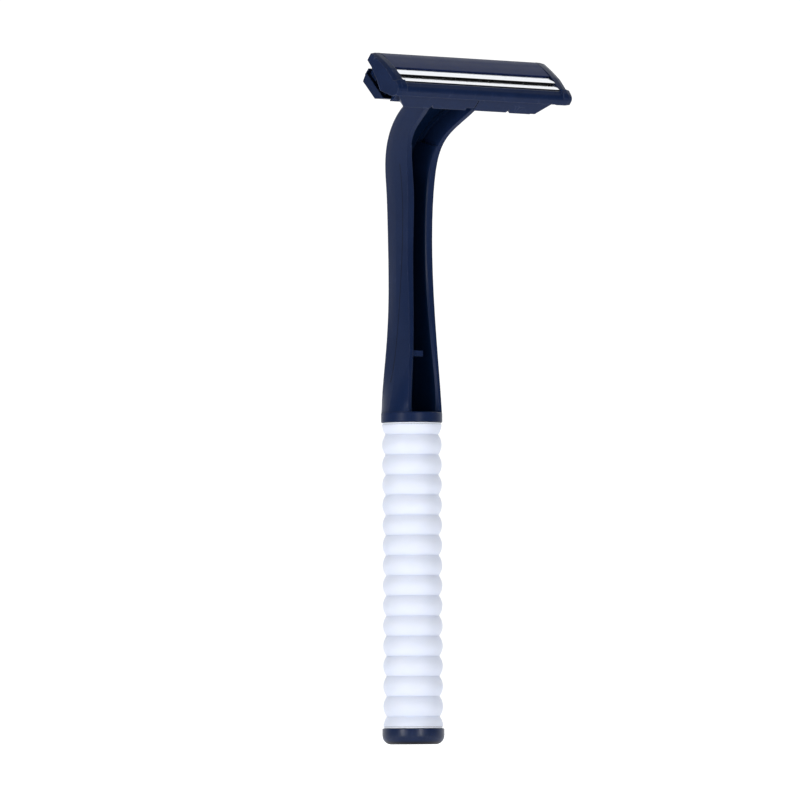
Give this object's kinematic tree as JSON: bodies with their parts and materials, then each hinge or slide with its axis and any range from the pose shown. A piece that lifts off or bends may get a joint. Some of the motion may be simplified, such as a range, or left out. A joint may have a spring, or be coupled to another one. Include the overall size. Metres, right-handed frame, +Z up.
{
  "type": "cartridge razor",
  "caption": "Upright wet razor with a ribbed round grip, a hollow neck that bends forward and a twin-blade cartridge that slides off its cross bar.",
  "frame": {"origin": "middle of the end cap's flat bottom, on the handle's axis", "axes": "+Z up the handle towards the head, -Y forwards to the side that the blades face, +X along the blades"},
  "size_m": [0.0406, 0.0272, 0.1236],
  "materials": {
    "navy_plastic": "moulded plastic, satin gloss, very dark blue",
    "black_plastic": "matt moulded plastic",
    "white_plastic": "hard white plastic",
    "white_rubber": "soft matt white elastomer",
    "blade_steel": "ground and polished stainless strip"
  },
  "bodies": {
    "handle": {"handle_neck": "navy_plastic", "grip_core": "white_plastic", "grip_sleeve": "white_rubber", "end_cap": "navy_plastic"},
    "cartridge": {"cartridge_platform": "navy_plastic", "seat_blade": "blade_steel", "blade_spacer": "black_plastic", "cap_blade": "blade_steel", "cartridge_cap": "navy_plastic"}
  },
  "joints": [
    {"name": "cartridge_slide", "type": "slide", "parent": "handle", "child": "cartridge", "axis": [1, 0, 0], "range_m": [-0.04, 0.04]}
  ]
}
